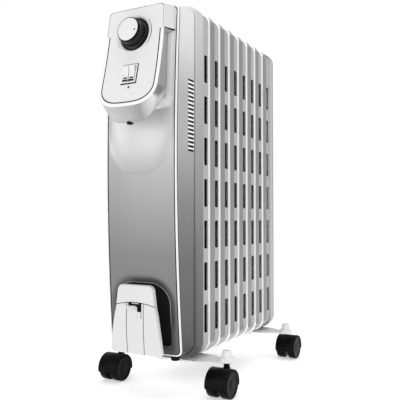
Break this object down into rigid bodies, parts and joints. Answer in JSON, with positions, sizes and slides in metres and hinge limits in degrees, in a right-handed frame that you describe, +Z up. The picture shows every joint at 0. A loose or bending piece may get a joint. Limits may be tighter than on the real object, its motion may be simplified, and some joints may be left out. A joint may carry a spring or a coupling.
{
  "type": "oil filled radiator heater",
  "caption": "Upright oil filled radiator heater: finned body, control housing with knob and two rockers, cord bracket, swivel casters.",
  "frame": {"origin": "on the floor, in the middle of the heater's length and width", "axes": "+Z up; the control console faces -Y; the elements are stacked along +Y; X is across the heater"},
  "size_m": [0.2512, 0.4503, 0.6366],
  "materials": {
    "element_steel": "satin light grey enamel",
    "rear_grey": "satin dark grey enamel",
    "silver_shell": "satin silver paint",
    "trim_white": "gloss",
    "panel_white": "satin",
    "band_metal": "brushed",
    "black_plastic": "fine grain",
    "cove_grey": "fine grain",
    "bracket_white": "satin",
    "plate_white": "satin light enamel",
    "zinc": "zinc plated",
    "brass": "turned",
    "knob_chrome": "smoked chrome",
    "pilot_amber": "gloss",
    "phenolic": "moulded"
  },
  "bodies": {
    "heater": {"console_panel": "panel_white", "console_shell": "band_metal", "control_housing": "silver_shell", "cord_bracket": "bracket_white", "cord_cove": "cove_grey", "cord_gland": "black_plastic", "front_end_cover": "silver_shell", "front_fascia": "silver_shell", "front_foot_plate": "plate_white", "front_u_bolt": "zinc", "heat_shield": "zinc", "heater_flange": "brass", "heating_element": "zinc", "knob_bezel": "trim_white", "oil_filler_plug": "brass", "pilot_lens": "pilot_amber", "radiator_element_1": "element_steel", "radiator_element_2": "element_steel", "radiator_element_3": "element_steel", "radiator_element_4": "element_steel", "radiator_element_5": "element_steel", "radiator_element_6": "element_steel", "radiator_element_7": "element_steel", "radiator_element_8": "element_steel", "radiator_element_9": "element_steel", "rear_end_cover": "rear_grey", "rear_foot_plate": "plate_white", "rear_u_bolt": "zinc", "switch_body": "black_plastic", "switch_frame": "trim_white", "thermal_cutout": "zinc", "thermostat_body": "phenolic", "tip_over_switch": "black_plastic", "trim_bead": "trim_white"},
    "knob": {"thermostat_knob": "knob_chrome", "knob_cap": "panel_white", "thermostat_shaft": "zinc"},
    "left_rocker": {"rocker_left": "panel_white"},
    "right_rocker": {"rocker_right": "panel_white"},
    "front_left_caster_swivel": {"front_left_caster_hood": "black_plastic", "front_left_caster_stem": "black_plastic"},
    "front_left_caster_wheels": {"front_left_caster_wheel_left": "black_plastic", "front_left_caster_wheel_right": "black_plastic", "front_left_caster_axle": "zinc"},
    "front_right_caster_swivel": {"front_right_caster_hood": "black_plastic", "front_right_caster_stem": "black_plastic"},
    "front_right_caster_wheels": {"front_right_caster_wheel_left": "black_plastic", "front_right_caster_wheel_right": "black_plastic", "front_right_caster_axle": "zinc"},
    "rear_left_caster_swivel": {"rear_left_caster_hood": "black_plastic", "rear_left_caster_stem": "black_plastic"},
    "rear_left_caster_wheels": {"rear_left_caster_wheel_left": "black_plastic", "rear_left_caster_wheel_right": "black_plastic", "rear_left_caster_axle": "zinc"},
    "rear_right_caster_swivel": {"rear_right_caster_hood": "black_plastic", "rear_right_caster_stem": "black_plastic"},
    "rear_right_caster_wheels": {"rear_right_caster_wheel_left": "black_plastic", "rear_right_caster_wheel_right": "black_plastic", "rear_right_caster_axle": "zinc"}
  },
  "joints": [
    {"name": "knob_turn", "type": "hinge", "parent": "heater", "child": "knob", "pos_m": [0, -0.19665, 0.57556], "axis": [0, -0.9886, 0.1505], "range_deg": [-60, 210]},
    {"name": "left_rocker_tilt", "type": "hinge", "parent": "heater", "child": "left_rocker", "pos_m": [-0.0057, -0.20894, 0.50897], "axis": [1, 0, 0], "range_deg": [-16, 0]},
    {"name": "right_rocker_tilt", "type": "hinge", "parent": "heater", "child": "right_rocker", "pos_m": [0.0057, -0.20894, 0.50897], "axis": [1, 0, 0], "range_deg": [-16, 0]},
    {"name": "front_left_caster_swivel_turn", "type": "hinge", "parent": "heater", "child": "front_left_caster_swivel", "pos_m": [-0.106, -0.087, 0.06], "axis": [0, 0, 1], "continuous": true},
    {"name": "front_left_caster_wheels_roll", "type": "hinge", "parent": "front_left_caster_swivel", "child": "front_left_caster_wheels", "pos_m": [-0.106, -0.104, 0.022], "axis": [1, 0, 0], "continuous": true},
    {"name": "front_right_caster_swivel_turn", "type": "hinge", "parent": "heater", "child": "front_right_caster_swivel", "pos_m": [0.106, -0.087, 0.06], "axis": [0, 0, 1], "continuous": true},
    {"name": "front_right_caster_wheels_roll", "type": "hinge", "parent": "front_right_caster_swivel", "child": "front_right_caster_wheels", "pos_m": [0.106, -0.104, 0.022], "axis": [1, 0, 0], "continuous": true},
    {"name": "rear_left_caster_swivel_turn", "type": "hinge", "parent": "heater", "child": "rear_left_caster_swivel", "pos_m": [-0.106, 0.1825, 0.06], "axis": [0, 0, 1], "continuous": true},
    {"name": "rear_left_caster_wheels_roll", "type": "hinge", "parent": "rear_left_caster_swivel", "child": "rear_left_caster_wheels", "pos_m": [-0.106, 0.1995, 0.022], "axis": [1, 0, 0], "continuous": true},
    {"name": "rear_right_caster_swivel_turn", "type": "hinge", "parent": "heater", "child": "rear_right_caster_swivel", "pos_m": [0.106, 0.1825, 0.06], "axis": [0, 0, 1], "continuous": true},
    {"name": "rear_right_caster_wheels_roll", "type": "hinge", "parent": "rear_right_caster_swivel", "child": "rear_right_caster_wheels", "pos_m": [0.106, 0.1995, 0.022], "axis": [1, 0, 0], "continuous": true}
  ]
}
